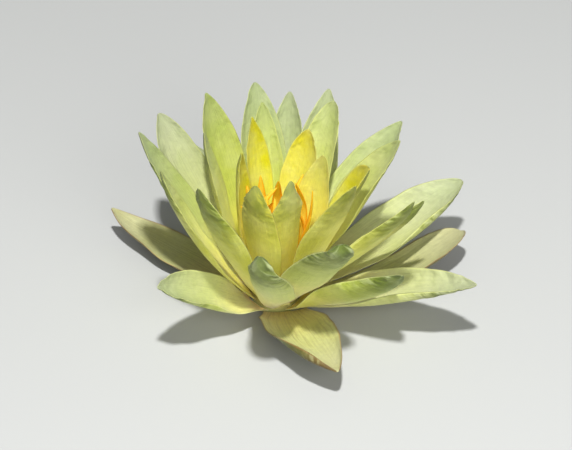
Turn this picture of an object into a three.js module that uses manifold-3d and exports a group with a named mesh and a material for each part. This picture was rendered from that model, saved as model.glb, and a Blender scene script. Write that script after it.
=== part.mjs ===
// A yellow water lily bloom as picked: four sepals, four whorls of petals, a crown of flat stamens, a
// rayed stigma, and the receptacle with the short cut end of its stem. Millimetres, +Z up. The bloom
// rests at z = 0 on its sepals and its cut stem.

import * as THREE from 'three';
import Module from 'manifold-3d';
import { mergeVertices } from 'three/addons/utils/BufferGeometryUtils.js';

const wasm = await Module();
wasm.setup();

// ---- driving dimensions, in millimetres and degrees ----

const BLADE_THICKNESS = 0.9;
const BLADE_ROWS = 9; // steps from root to tip
const BLADE_COLUMNS = 4; // steps across
const ROOT_GAP = 0.7; // from the receptacle to the middle of a blade's root
const TIP_WIDTH = 0.04; // as a share of the blade's width
const WIDENING = 1.3; // how late a blade widens from its root
const TAPER = { power: 2, ease: 0.85 }; // of a pointed tip
const BLUNTED = { power: 1, ease: -0.4 }; // what a fully blunt tip adds to them
const ROLLED_BY = 0.35; // share of the length by which a blade has its full roll
const HOOKED_FROM = 0.82; // share of the length where a hooked tip starts to turn in
const CUPPED = { root: 0.4, more: 0.35, by: 0.3, tip: 0.5 }; // shares of the cup, from root to tip
const LATHE_SIDES = 24;
const WELD = 1e-4; // points closer than this are one

const RECEPTACLE_RADIUS = 8; // at its widest
const RECEPTACLE_TOP = 13; // above the roots of the sepals
const RECEPTACLE_FOOT = -0.9; // where it meets the stem
const RECEPTACLE_STEPS = 5; // of its outline
const SHOULDER = 2; // height above which it narrows
const NARROWING = 0.022; // radius lost for each square millimetre of height above the shoulder
const STEM_RADIUS = 4.2;
const FLOOR = -1.6; // height of the cut stem, on which the bloom rests

const STIGMA_RADIUS = 4.6;
const STIGMA_HEIGHT = 2.2; // at its rim, above the receptacle
const STIGMA_HOLLOW = 1.2; // depth of its shallow bowl
const STIGMA_FOOT = 0.8; // radius of its underside, as a share of its own
const KNOB = { foot: 0.25, top: 0.18, rise: 0.3 }; // shares of its radius, and height above its rim
const SEAT = 0.3; // clearance where one piece rests on another

// The stamens are thin blades that stand in a collar round the top of the receptacle. Each ring has
// so many of them, with the radius and height of their roots, their length, width, rise and bow.
const STAMEN_RINGS = [
  { count: 12, radius: 5.6, root: 13.8, long: 33, wide: 5, rise: 79, bow: 10 },
  { count: 10, radius: 5.4, root: 13.8, long: 27, wide: 4, rise: 81, bow: 18 },
  { count: 8, radius: 5.2, root: 13.8, long: 19, wide: 2.4, rise: 84, bow: 28 },
];
const STAMEN_FORM = { cup: 50, claw: 0.6, widest: 0.25, blunt: 0, hook: 0 };
const STAMEN_THICKNESS = 0.7;
const STAMEN_ROWS = 4;
const STAMEN_COLUMNS = 2;
const STAMEN_LEAN = 5; // degrees that the crown leans open towards LEAN_AT
const LEAN_AT = 15;
const UNEVEN = { most: 4, step: 2.4 }; // degrees and millimetres by which stamens differ from each other
const COLLAR = { inner: 4.9, outer: 6, height: 1.2 };

const BLADE_ROUGHNESS = 0.6;
const STAMEN_FINISH = { color: 0xf2a51c, roughness: 0.5 };
const STIGMA_FINISH = { color: 0xe3c238, roughness: 0.5 };
const STEM_FINISH = { color: 0x8a8f4e, roughness: 0.7 };

// One row is one blade: its name, the compass angle of its root (0 along +X, anticlockwise from above),
// its mean rise over the horizon, length, width, the growth of its rise from root to tip, the arc of
// its cross-section, the roll about its midrib, its sideways sweep, the height of its root, its root's
// width as a share of its own, and the share of its length where it is widest. The last two values,
// where there are any, are how blunt its tip is, from 0 to 1, and how far its tip hooks inward.
const SEPALS = {
  color: 0xb8b082,
  rows: [
    ['sepal_front', -68.7, 9.8, 48.8, 26.5, -2, 89, -7, 12.9, 0.8, 0.57, 0.32],
    ['sepal_right', 24.8, 8.2, 65.2, 23.3, 26, 41, -19, 21.2, -0.3, 0.4, 0.56, 0.99, 0],
    ['sepal_back', 85, 12, 68, 22, 40, 58, 0, 0, -0.5, 0.4, 0.56],
    ['sepal_left', 144.9, 7.2, 65.1, 22, 25, 58, 9, 3.4, -0.7, 0.52, 0.43],
  ],
};
const OUTER_PETALS = {
  color: 0xd8dba6,
  rows: [
    ['petal_outer_01', -19.2, 19.1, 66.1, 23.2, 9, 89, 2, -0.9, 1.6, 0.31, 0.46],
    ['petal_outer_02', 32, 16, 72, 24, 20, 69, 5, 0, 1.8, 0.24, 0.56],
    ['petal_outer_03', 44, 37, 66, 21, 6, 78, -4, 0, 6, 0.24, 0.56],
    ['petal_outer_04', 73.5, 36, 71, 18, 22, 70, 9, 2, 4.7, 0.24, 0.56],
    ['petal_outer_05', 78, 20, 67, 22, 28, 65, -2, 0, 0.8, 0.24, 0.56],
    ['petal_outer_06', 86, 31, 74, 19, 32, 73, -8, -1, 2.2, 0.24, 0.56],
    ['petal_outer_07', 96.3, 34, 74, 18, 15, 56, 14, 1, 3.5, 0.24, 0.56],
    ['petal_outer_08', 115, 19, 65, 20, 30, 63, 1, -2, 1.3, 0.24, 0.56],
    ['petal_outer_09', 136, 45, 69, 20, 32, 66, 3, -1, 2.9, 0.24, 0.56],
    ['petal_outer_10', 163, 54, 69, 19, 26, 62, 8, 1, 4.2, 0.24, 0.56],
    ['petal_outer_11', -140.1, 32.3, 50, 18.1, 7, 105, -31, 1.3, 2.2, 0.73, 0.56],
    ['petal_outer_12', -97.1, 46.3, 65.9, 18.3, 9, 99, -15, -7.9, 3.2, 0.28, 0.45, 0.72, 60],
    ['petal_outer_13', -65.3, 47.5, 67.8, 18, -2, 73, -20, 6.8, 4.5, 0.29, 0.48, 0.89, 61],
    ['petal_outer_14', -42, 35.5, 58.7, 21.6, 33, 91, -31, -7, 2.9, 0.55, 0.41],
  ],
};
const MIDDLE_PETALS = {
  color: 0xe0dc94,
  rows: [
    ['petal_middle_1', 3.9, 37.5, 54.8, 17.6, 17, 69, -45, -3.2, 4.4, 0.36, 0.48],
    ['petal_middle_2', 14, 55, 62, 21, 3, 80, 1, 1, 7.8, 0.24, 0.56],
    ['petal_middle_3', 64, 51, 61, 17, 13, 84, -10, -1, 7.4, 0.24, 0.56],
    ['petal_middle_4', 96, 51, 59, 14, 19, 79, 6, -2, 6.6, 0.24, 0.56],
    ['petal_middle_5', 123, 57, 68, 22, 40, 62, 22, 0, 4.8, 0.24, 0.56],
    ['petal_middle_6', 174, 75, 64, 16, 15, 59, 1, 0, 5.6, 0.24, 0.56],
    ['petal_middle_7', 200, 61, 68, 18, 27, 66, -9, -3, 4, 0.36, 0.56],
    ['petal_middle_8', 231, 62, 69, 21, 14, 62, -11, 1, 5.9, 0.24, 0.56],
    ['petal_middle_9', -30, 48.5, 69, 18, 16, 88, -12, 1, 6.8, 0.24, 0.56],
  ],
};
const INNER_PETALS = {
  color: 0xe8da70,
  rows: [
    ['petal_inner_1', -3, 62, 52, 19, 2, 78, 1, 2, 9.3, 0.26, 0.56, 1, 0],
    ['petal_inner_2', 63, 69, 50, 16, 14, 86, -2, -4, 8.9, 0.26, 0.56],
    ['petal_inner_3', 112, 75, 56, 13, 24, 78, 23, 1, 8.2, 0.26, 0.56],
    ['petal_inner_4', 176, 85, 53, 16, 16, 70, -11, -2, 7.8, 0.26, 0.56],
    ['petal_inner_5', -106, 71, 60, 16, 19, 77, -17, 0, 7.4, 0.26, 0.56, 0.4, 50],
    ['petal_inner_6', -48, 62, 67, 19, 9, 89, -2, 3, 8, 0.26, 0.56],
  ],
};
const HEART_PETALS = {
  color: 0xecd552,
  rows: [
    ['petal_heart_1', 34, 73, 44, 15, 19, 67, 14, 3, 10.8, 0.26, 0.56],
    ['petal_heart_2', -75, 73, 56, 16, 21, 102, 17, 4, 10.2, 0.26, 0.56, 0, 30],
  ],
};

// ---- the blade rule, which every sepal, petal and stamen follows ----

const radians = THREE.MathUtils.degToRad;
const UP = new THREE.Vector3(0, 0, 1);

function smooth(x) {
  const s = THREE.MathUtils.clamp(x, 0, 1);
  return s * s * (3 - 2 * s);
}

function receptacleRadius(height) {
  return RECEPTACLE_RADIUS - NARROWING * Math.max(height - SHOULDER, 0) ** 2;
}

// Width at share t of the length: a narrow root, the full width where it is widest, and the tip.
function widthShare(blade, t) {
  const { claw, widest, blunt } = blade;
  if (t < widest) return claw + (1 - claw) * Math.sin((Math.PI / 2) * (t / widest)) ** WIDENING;
  const s = (t - widest) / (1 - widest);
  const power = TAPER.power + BLUNTED.power * blunt;
  const ease = TAPER.ease + BLUNTED.ease * blunt;
  return TIP_WIDTH + (1 - TIP_WIDTH) * Math.max(1 - s ** power, 0) ** ease;
}

// The blade's direction, and the two directions across and above it, at share t of its length.
function bladeFrame(blade, t) {
  const hook = blade.hook * smooth((t - HOOKED_FROM) / (1 - HOOKED_FROM));
  const rise = radians(blade.rise + blade.bow * (t - 0.5) + hook);
  const heading = radians(blade.at + blade.sway * (t - 0.5) * 2);
  const along = new THREE.Vector3(
    Math.cos(rise) * Math.cos(heading),
    Math.cos(rise) * Math.sin(heading),
    Math.sin(rise),
  );
  const level = new THREE.Vector3(-Math.sin(heading), Math.cos(heading), 0);
  const inward = along.clone().cross(level);
  const roll = radians(blade.roll * smooth(t / ROLLED_BY));
  const across = level.clone().multiplyScalar(Math.cos(roll)).addScaledVector(inward, Math.sin(roll));
  const above = inward.multiplyScalar(Math.cos(roll)).addScaledVector(level, -Math.sin(roll));
  return { along, across, above };
}

// The middle surface of a blade, as rows of points from root to tip.
function bladeSurface(blade, rows, columns) {
  const at = radians(blade.at);
  const spine = new THREE.Vector3(blade.radius * Math.cos(at), blade.radius * Math.sin(at), blade.root);
  const grid = [];
  let before = bladeFrame(blade, 0);
  for (let i = 0; i <= rows; i += 1) {
    const t = i / rows;
    const frame = bladeFrame(blade, t);
    if (i > 0) {
      spine.addScaledVector(before.along, blade.long / rows / 2);
      spine.addScaledVector(frame.along, blade.long / rows / 2);
    }
    before = frame;
    const share = CUPPED.root + CUPPED.more * smooth(t / CUPPED.by) + CUPPED.tip * t;
    const cup = radians(blade.cup) * share;
    const bend = (blade.wide * widthShare(blade, t)) / cup;
    const row = [];
    for (let j = 0; j <= columns; j += 1) {
      const turn = (cup / 2) * ((2 * j) / columns - 1);
      const point = spine.clone().addScaledVector(frame.across, bend * Math.sin(turn));
      row.push(point.addScaledVector(frame.above, bend * (1 - Math.cos(turn))));
    }
    grid.push(row);
  }
  return grid;
}

// A closed solid that stands half of the thickness off each side of a middle surface.
function thicken(grid, thickness) {
  const rows = grid.length - 1;
  const columns = grid[0].length - 1;
  const inside = [];
  const outside = [];
  for (let i = 0; i <= rows; i += 1) {
    for (let j = 0; j <= columns; j += 1) {
      const down = grid[Math.min(i + 1, rows)][j].clone().sub(grid[Math.max(i - 1, 0)][j]);
      const over = grid[i][Math.min(j + 1, columns)].clone().sub(grid[i][Math.max(j - 1, 0)]);
      const normal = down.cross(over).normalize().multiplyScalar(thickness / 2);
      inside.push(grid[i][j].clone().add(normal));
      outside.push(grid[i][j].clone().sub(normal));
    }
  }
  const points = [...inside, ...outside];
  const under = inside.length;
  const at = (i, j) => i * (columns + 1) + j;
  const faces = [];
  const quad = (a, b, c, d) => faces.push(a, b, c, a, c, d);
  for (let i = 0; i < rows; i += 1) {
    for (let j = 0; j < columns; j += 1) {
      quad(at(i, j), at(i + 1, j), at(i + 1, j + 1), at(i, j + 1));
      faces.push(under + at(i, j), under + at(i + 1, j + 1), under + at(i + 1, j));
      faces.push(under + at(i, j), under + at(i, j + 1), under + at(i + 1, j + 1));
    }
  }
  const rim = [];
  for (let i = 0; i < rows; i += 1) rim.push(at(i, 0));
  for (let j = 0; j < columns; j += 1) rim.push(at(rows, j));
  for (let i = rows; i > 0; i -= 1) rim.push(at(i, columns));
  for (let j = columns; j > 0; j -= 1) rim.push(at(0, j));
  rim.forEach((a, k) => {
    const b = rim[(k + 1) % rim.length];
    quad(b, a, under + a, under + b);
  });
  const geometry = new THREE.BufferGeometry();
  geometry.setAttribute('position', new THREE.Float32BufferAttribute(points.flatMap((p) => p.toArray()), 3));
  geometry.setIndex(faces);
  return geometry;
}

// ---- joining and cutting closed solids ----

function toSolid(geometry) {
  const bare = geometry.clone();
  bare.deleteAttribute('normal');
  bare.deleteAttribute('uv');
  const welded = mergeVertices(bare, WELD);
  return new wasm.Manifold(new wasm.Mesh({
    numProp: 3,
    vertProperties: new Float32Array(welded.attributes.position.array),
    triVerts: new Uint32Array(welded.index.array),
  }));
}

function toGeometry(solid) {
  const mesh = solid.getMesh();
  const geometry = new THREE.BufferGeometry();
  geometry.setAttribute('position', new THREE.Float32BufferAttribute(mesh.vertProperties, 3));
  geometry.setIndex([...mesh.triVerts]);
  return geometry;
}

function cutAtFloor(geometry) {
  const side = 400; // well beyond the bloom
  const below = new THREE.BoxGeometry(side, side, side).translate(0, 0, FLOOR - side / 2);
  return toGeometry(toSolid(geometry).subtract(toSolid(below)));
}

// ---- the pieces ----

const flower = new THREE.Group();

function addPiece(name, geometry, { color, roughness }) {
  geometry.computeVertexNormals();
  const material = new THREE.MeshStandardMaterial({ color, roughness, metalness: 0 });
  const piece = new THREE.Mesh(geometry, material);
  piece.name = name;
  flower.add(piece);
}

function addWhorl(whorl, finish) {
  for (const row of whorl.rows) {
    const [name, at, rise, long, wide, bow, cup, roll, sway, root, claw, widest, blunt = 0, hook = 0] = row;
    const radius = receptacleRadius(root) + ROOT_GAP;
    const blade = { at, rise, long, wide, bow, cup, roll, sway, root, claw, widest, blunt, hook, radius };
    const surface = bladeSurface(blade, BLADE_ROWS, BLADE_COLUMNS);
    const solid = finish(thicken(surface, BLADE_THICKNESS));
    addPiece(name, solid, { color: whorl.color, roughness: BLADE_ROUGHNESS });
  }
}

// The receptacle is a blunt bowl on the cut stem, turned round the flower's axis.
function receptacleGeometry() {
  const outline = [new THREE.Vector2(0, FLOOR), new THREE.Vector2(STEM_RADIUS, FLOOR)];
  outline.push(new THREE.Vector2(STEM_RADIUS, RECEPTACLE_FOOT));
  for (let k = 0; k <= RECEPTACLE_STEPS; k += 1) {
    const height = (RECEPTACLE_TOP * k) / RECEPTACLE_STEPS;
    outline.push(new THREE.Vector2(receptacleRadius(height), height));
  }
  outline.push(new THREE.Vector2(0, RECEPTACLE_TOP));
  return new THREE.LatheGeometry(outline, LATHE_SIDES).rotateX(Math.PI / 2);
}

// The stigma is a shallow bowl with a small knob in its middle.
function stigmaGeometry() {
  const low = RECEPTACLE_TOP + SEAT;
  const outline = [
    new THREE.Vector2(0, low),
    new THREE.Vector2(STIGMA_RADIUS * STIGMA_FOOT, low),
    new THREE.Vector2(STIGMA_RADIUS, low + STIGMA_HEIGHT),
    new THREE.Vector2(STIGMA_RADIUS * STIGMA_FOOT, low + STIGMA_HEIGHT),
    new THREE.Vector2(STIGMA_RADIUS * KNOB.foot, low + STIGMA_HEIGHT - STIGMA_HOLLOW),
    new THREE.Vector2(STIGMA_RADIUS * KNOB.top, low + STIGMA_HEIGHT),
    new THREE.Vector2(0, low + STIGMA_HEIGHT + KNOB.rise),
  ];
  return new THREE.LatheGeometry(outline, LATHE_SIDES).rotateX(Math.PI / 2);
}

function collarGeometry() {
  const low = RECEPTACLE_TOP + SEAT;
  const high = low + COLLAR.height;
  const outline = [
    new THREE.Vector2(COLLAR.inner, low),
    new THREE.Vector2(COLLAR.outer, low),
    new THREE.Vector2(COLLAR.outer, high),
    new THREE.Vector2(COLLAR.inner, high),
    new THREE.Vector2(COLLAR.inner, low),
  ];
  return new THREE.LatheGeometry(outline, LATHE_SIDES).rotateX(Math.PI / 2);
}

function stamensGeometry() {
  let crown = toSolid(collarGeometry());
  STAMEN_RINGS.forEach((ring, order) => {
    for (let k = 0; k < ring.count; k += 1) {
      const at = ((k + order / 3) * 360) / ring.count;
      const lean = STAMEN_LEAN * Math.cos(radians(at - LEAN_AT));
      const uneven = UNEVEN.most * Math.sin(k * UNEVEN.step + order);
      const rise = ring.rise - lean + uneven / 2;
      const long = ring.long + uneven / 2;
      const blade = { ...ring, ...STAMEN_FORM, at, rise, long, roll: uneven * 4, sway: uneven };
      const surface = bladeSurface(blade, STAMEN_ROWS, STAMEN_COLUMNS);
      crown = crown.add(toSolid(thicken(surface, STAMEN_THICKNESS)));
    }
  });
  return toGeometry(crown);
}

addWhorl(SEPALS, cutAtFloor);
addWhorl(OUTER_PETALS, (solid) => solid);
addWhorl(MIDDLE_PETALS, (solid) => solid);
addWhorl(INNER_PETALS, (solid) => solid);
addWhorl(HEART_PETALS, (solid) => solid);
addPiece('stamens', stamensGeometry(), STAMEN_FINISH);
addPiece('stigma', toGeometry(toSolid(stigmaGeometry())), STIGMA_FINISH);
addPiece('receptacle_stem', toGeometry(toSolid(receptacleGeometry())), STEM_FINISH);

// The origin is the middle of the bloom's box in plan, on the surface that it rests on.
const extent = new THREE.Box3().setFromObject(flower, true);
const middle = extent.getCenter(new THREE.Vector3());
flower.position.set(-middle.x, -middle.y, -FLOOR);

export default flower;
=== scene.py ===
"""Dresses a yellow water lily bloom as picked: sepals, petals, stamens, stigma and the cut stem.

Every sepal, petal and stamen is one blade, and all blades follow one rule, in millimetres and degrees
about the bloom's axis. Each blade is meshed finely, with a keel, a thin rounded rim, pleats, waves
and crinkles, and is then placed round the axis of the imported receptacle.
"""

import logging
import math
from dataclasses import dataclass, field
from enum import Enum

import bpy
import numpy as np
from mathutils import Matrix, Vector


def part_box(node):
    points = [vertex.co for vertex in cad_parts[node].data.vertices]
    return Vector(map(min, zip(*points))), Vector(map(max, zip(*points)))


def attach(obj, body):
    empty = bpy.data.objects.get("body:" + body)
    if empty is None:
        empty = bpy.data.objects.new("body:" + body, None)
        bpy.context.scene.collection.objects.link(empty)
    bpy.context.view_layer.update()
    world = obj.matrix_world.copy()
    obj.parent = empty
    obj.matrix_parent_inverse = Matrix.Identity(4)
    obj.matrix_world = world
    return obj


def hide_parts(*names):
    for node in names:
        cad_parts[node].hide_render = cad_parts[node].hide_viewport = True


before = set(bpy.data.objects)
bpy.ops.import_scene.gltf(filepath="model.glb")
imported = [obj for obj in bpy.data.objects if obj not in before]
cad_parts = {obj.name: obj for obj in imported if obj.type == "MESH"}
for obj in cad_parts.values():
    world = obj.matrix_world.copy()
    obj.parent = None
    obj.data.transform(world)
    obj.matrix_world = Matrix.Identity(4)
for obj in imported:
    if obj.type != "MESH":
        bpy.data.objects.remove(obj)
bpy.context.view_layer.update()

LOG = logging.getLogger("water_lily")

MM = 0.001  # metres in a millimetre
BODY = "root"

RECEPTACLE_RADIUS = 8.0
RECEPTACLE_TOP = 13.0
SHOULDER = 2.0  # height above which the receptacle narrows
NARROWING = 0.022  # radius lost for each square millimetre of height above the shoulder
ROOT_GAP = 0.7  # from the receptacle to the middle of a blade's root
TIP_WIDTH = 0.04  # as a share of the blade's width
FLOOR = -1.6  # height of the cut stem's end, from the roots of the sepals
WIDENING = 1.3  # how late a blade widens from its root
TAPER_POWER = 2.0  # inner power of a pointed tip's outline; a fully blunt one has 1 more
TAPER_EASE = 0.85  # its outer power
BLUNT_EASE = 0.4  # by which a fully blunt tip has less
CUP_AT_ROOT = 0.4  # share of its whole cup that a blade has at its root
CUP_ABOVE = 0.35  # what it gains just above the root
CUP_GROWTH = 0.5  # what it gains from root to tip
ROLLED_BY = 0.35  # share of the length by which a blade has its full roll
PINCHED_FROM = 0.6  # share of the length where a pinched tip starts to close
ROLL_SPREAD = 0.22  # share of the length over which a rim's roll dies away
RIM_FROM = 0.55  # share of the half width where the rolling rim starts
RIM_SWING = 30.0  # degrees by which a fully ruffled rim waves
RIM_WAVES = 7  # lattice steps of noise along a rim, for its waves
RIM_PLACE = 9  # where those waves are read across the noise
RIM_APART = 3  # from there to either rim
EDGE_SWING = 0.03  # share of the half width by which the edge wanders
EDGE_WAVES = 9  # lattice steps of noise along an edge, for its wandering
EDGE_PLACE = 20  # where that is read across the noise
EDGE_APART = 4  # from there to either edge
CLOSER_ROWS = 1.25  # how much closer the rows of a mesh stand near the tip
CLOSER_COLUMNS = 0.25  # the same for its columns near the rims
KEEL_SPREAD = 0.45  # share of the half width over which the keel thins out
ROOT_THICKNESS = 1.2  # at the root, as a share of the grain's
THINNING = 0.5  # what the thickness loses from root to tip
CRINKLED_FROM = 0.5  # share of the length where the crinkles start
CRINKLED_BY = 0.4  # share of the length from there to where they are full
FINE_SHARE = 0.55  # share of the fine crinkles in the whole
BROAD_SHARE = 0.5
SMOOTH_TIP = 0.03  # share of the length at the tip over which all relief dies away
SHARP_RIM = 14  # power of the rounded rim; a higher one is sharper
SHARP_END = 60  # the same for root and tip
SKIN_OVER_FLOOR = 0.25  # millimetres between both faces of a blade that lies on the floor


# ---- small helpers ----


def smooth(x: np.ndarray | float) -> np.ndarray:
    """Eases from 0 to 1 as x goes from 0 to 1."""
    s = np.clip(x, 0.0, 1.0)
    return s * s * (3.0 - 2.0 * s)


def bell(x: np.ndarray, centre: float, spread: float) -> np.ndarray:
    """A bump of height 1 at centre that dies away over spread."""
    return np.exp(-(((x - centre) / spread) ** 2))


def linear(code: str) -> tuple[float, float, float, float]:
    """Turns a colour such as "#dde3a0" into the linear colour that a shader takes.

    Args:
        code: Six hexadecimal digits after a hash sign.

    Returns:
        Red, green, blue and an alpha of 1.
    """
    parts = [int(code[i : i + 2], 16) / 255 for i in (1, 3, 5)]
    red, green, blue = (c / 12.92 if c <= 0.04045 else ((c + 0.055) / 1.055) ** 2.4 for c in parts)
    return (red, green, blue, 1.0)


def receptacle_radius(height: float) -> float:
    """Radius of the receptacle at a height above the roots of the sepals."""
    return RECEPTACLE_RADIUS - NARROWING * max(height - SHOULDER, 0.0) ** 2


class SmoothNoise:
    """Seeded smooth noise over a plane, from -1 to 1."""

    SIZE = 64

    def __init__(self, seed: int) -> None:
        """Draws the lattice of values from the seed."""
        self.lattice = np.random.default_rng(seed).uniform(-1.0, 1.0, (self.SIZE, self.SIZE))

    def at(self, x: np.ndarray, y: np.ndarray) -> np.ndarray:
        """Reads the noise.

        Args:
            x: First coordinate of each point, in lattice steps.
            y: Second coordinate of each point, in lattice steps.

        Returns:
            The noise at each point.
        """
        column = np.floor(x).astype(int)
        row = np.floor(y).astype(int)
        u = smooth(x - column)
        v = smooth(y - row)
        near, far = column % self.SIZE, (column + 1) % self.SIZE
        low, high = row % self.SIZE, (row + 1) % self.SIZE
        bottom = self.lattice[near, low] * (1 - u) + self.lattice[far, low] * u
        top = self.lattice[near, high] * (1 - u) + self.lattice[far, high] * u
        return bottom * (1 - v) + top * v


# Points in millimetres about the bloom's axis, four-cornered faces, and named values of the points.
Shell = tuple[np.ndarray, np.ndarray, dict[str, np.ndarray]]


# ---- the blade rule ----


@dataclass(frozen=True)
class Traits:
    """What sets one blade apart from its neighbours.

    Attributes:
        blunt: Roundness of the tip, from 0 for pointed to 1.
        hook: Degrees that the tip turns inward.
        hooked_from: Share of the length where the hook starts.
        pinch: Degrees by which the tip's cross-section closes up.
        left: Degrees that the rim at the right hand of someone on the axis, looking out, rolls in.
        right: The same for the other rim.
        rolled_at: Share of the length where the rims roll most.
        crinkle: Depth of the crinkles near the tip.
        ruffle: Height of the waves along the rims.
        tone: How far the blade's colour is shifted, from -1 for greener and darker to 1 for paler and
            warmer.
    """

    blunt: float = 0.0
    hook: float = 4.0
    hooked_from: float = 0.82
    pinch: float = 0.0
    left: float = 8.0
    right: float = 8.0
    rolled_at: float = 0.75
    crinkle: float = 0.3
    ruffle: float = 0.35
    tone: float = 0.0


@dataclass(frozen=True)
class Blade:
    """One sepal, petal or stamen, in millimetres and degrees.

    Attributes:
        at: Compass angle of the root, 0 along +X and anticlockwise from above.
        rise: Mean rise over the horizon.
        long: Length from root to tip.
        wide: Greatest width.
        bow: Growth of the rise from root to tip.
        cup: Arc of the cross-section.
        roll: Turn about the midrib.
        sway: Sideways sweep from root to tip.
        root: Height of the root.
        claw: Width of the root, as a share of the whole.
        widest: Share of the length where the blade is widest.
        radius: Distance of the root from the axis.
        traits: What sets the blade apart.
    """

    at: float
    rise: float
    long: float
    wide: float
    bow: float
    cup: float
    roll: float
    sway: float
    root: float
    claw: float
    widest: float
    radius: float
    traits: Traits = field(default_factory=Traits)

    def width(self, t: np.ndarray) -> np.ndarray:
        """Works out the width.

        Args:
            t: Shares of the length.

        Returns:
            The width at each share.
        """
        start = np.pi / 2 * np.clip(t / self.widest, 0, 1)
        rising = self.claw + (1 - self.claw) * np.sin(start) ** WIDENING
        power = TAPER_POWER + self.traits.blunt
        ease = TAPER_EASE - BLUNT_EASE * self.traits.blunt
        s = np.clip((t - self.widest) / (1 - self.widest), 0, 1)
        falling = TIP_WIDTH + (1 - TIP_WIDTH) * (1 - s**power) ** ease
        return self.wide * np.where(t < self.widest, rising, falling)

    def frames(self, t: np.ndarray) -> tuple[np.ndarray, np.ndarray, np.ndarray]:
        """Works out how the blade lies.

        Args:
            t: Shares of the length.

        Returns:
            The directions along, across and above the blade at each share.
        """
        start = self.traits.hooked_from
        hook = self.traits.hook * smooth((t - start) / (1 - start))
        rise = np.radians(self.rise + self.bow * (t - 0.5) + hook)[:, None]
        heading = np.radians(self.at + self.sway * (2 * t - 1))[:, None]
        out = np.hstack([np.cos(heading), np.sin(heading), 0 * heading])
        along = np.cos(rise) * out + np.sin(rise) * np.array([0.0, 0.0, 1.0])
        level = np.hstack([-np.sin(heading), np.cos(heading), 0 * heading])
        inward = np.cross(along, level)
        roll = np.radians(self.roll * smooth(t / ROLLED_BY))[:, None]
        across = level * np.cos(roll) + inward * np.sin(roll)
        above = inward * np.cos(roll) - level * np.sin(roll)
        return along, across, above

    def spine(self, t: np.ndarray, along: np.ndarray) -> np.ndarray:
        """Follows the midrib.

        Args:
            t: Shares of the length.
            along: Direction of the blade at each share.

        Returns:
            A point of the midrib at each share.
        """
        steps = (along[1:] + along[:-1]) / 2 * (np.diff(t) * self.long)[:, None]
        at = math.radians(self.at)
        start = np.array([self.radius * math.cos(at), self.radius * math.sin(at), self.root])
        return start + np.vstack([np.zeros(3), np.cumsum(steps, axis=0)])

    def surface(self, t: np.ndarray, v: np.ndarray, noise: SmoothNoise) -> np.ndarray:
        """The middle surface of the blade.

        Args:
            t: Shares of the length, from root to tip.
            v: Shares of the half width, from -1 to 1.
            noise: Source of the blade's unevenness.

        Returns:
            Points, one row for each t and one column for each v.
        """
        traits = self.traits
        along, across, above = self.frames(t)
        spine = self.spine(t, along)
        pinch = traits.pinch * smooth((t - PINCHED_FROM) / (1 - PINCHED_FROM))
        cup = self.cup * (CUP_AT_ROOT + CUP_ABOVE * smooth(t / 0.3) + CUP_GROWTH * t) + pinch
        rows, columns = t[:, None], v[None, :]
        hand = np.sign(columns)
        flat = 0 * rows * columns
        side = np.where(columns < 0, traits.left, traits.right)
        wave = noise.at(rows * RIM_WAVES + flat, RIM_PLACE + RIM_APART * hand + flat)
        wave = RIM_SWING * traits.ruffle * wave
        rim = side * bell(rows, traits.rolled_at, ROLL_SPREAD) + wave * smooth(rows / 0.4)
        near_rim = smooth((abs(columns) - RIM_FROM) / (1 - RIM_FROM))
        turn = np.radians(cup[:, None] / 2 * columns + hand * rim * near_rim)
        wander = noise.at(rows * EDGE_WAVES + flat, EDGE_PLACE + EDGE_APART * hand + flat)
        half = self.width(t)[:, None] / 2 * (1 + EDGE_SWING * wander * smooth(rows / 0.3))
        sideways = (self._integrate(np.cos(turn), v) * half)[..., None]
        lift = (self._integrate(np.sin(turn), v) * half)[..., None]
        return spine[:, None, :] + across[:, None, :] * sideways + above[:, None, :] * lift

    @staticmethod
    def _integrate(slope: np.ndarray, v: np.ndarray) -> np.ndarray:
        """Sums a slope across the blade, starting from 0 at the midrib.

        Args:
            slope: One row for each step along the blade.
            v: Shares of the half width.

        Returns:
            The sum at each point.
        """
        steps = (slope[:, 1:] + slope[:, :-1]) / 2 * np.diff(v)
        total = np.hstack([np.zeros((len(slope), 1)), np.cumsum(steps, axis=1)])
        return total - total[:, [len(v) // 2]]


@dataclass(frozen=True)
class Grain:
    """How finely a blade is meshed, and how thick it is.

    Attributes:
        rows: Steps from root to tip.
        columns: Steps across, an even number.
        keel: Half the thickness along the midrib, in millimetres.
        thin: Half the thickness near the rim, in millimetres.
        pleats: Number of low pleats across the blade.
        pleat_depth: Their depth, in millimetres.
    """

    rows: int
    columns: int
    keel: float
    thin: float
    pleats: int
    pleat_depth: float


@dataclass(frozen=True)
class Ripple:
    """One scale of the unevenness of a blade.

    Attributes:
        long: Its size along the blade, in millimetres.
        wide: Its size across.
        slant: How far it slants.
        place: Where it is read across the noise, in lattice steps.
    """

    long: float
    wide: float
    slant: float
    place: float

    def at(self, noise: SmoothNoise, along: np.ndarray, across: np.ndarray) -> np.ndarray:
        """Reads the unevenness, from -1 to 1.

        Args:
            noise: The blade's own noise.
            along: Millimetres from the root, for each point.
            across: Millimetres from the midrib.

        Returns:
            The unevenness at each point.
        """
        return noise.at(along / self.long + self.slant * across, across / self.wide + self.place)


WAVES = Ripple(long=11, wide=6, slant=0.0, place=7)
FINE_CRINKLES = Ripple(long=1.5, wide=4.5, slant=0.4, place=30)
BROAD_CRINKLES = Ripple(long=3.4, wide=5, slant=-0.3, place=45)
PETAL_GRAIN = Grain(rows=112, columns=36, keel=0.42, thin=0.2, pleats=7, pleat_depth=0.05)
SEPAL_GRAIN = Grain(rows=112, columns=36, keel=0.5, thin=0.3, pleats=9, pleat_depth=0.07)
STAMEN_GRAIN = Grain(rows=26, columns=8, keel=0.32, thin=0.16, pleats=2, pleat_depth=0.05)


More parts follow.
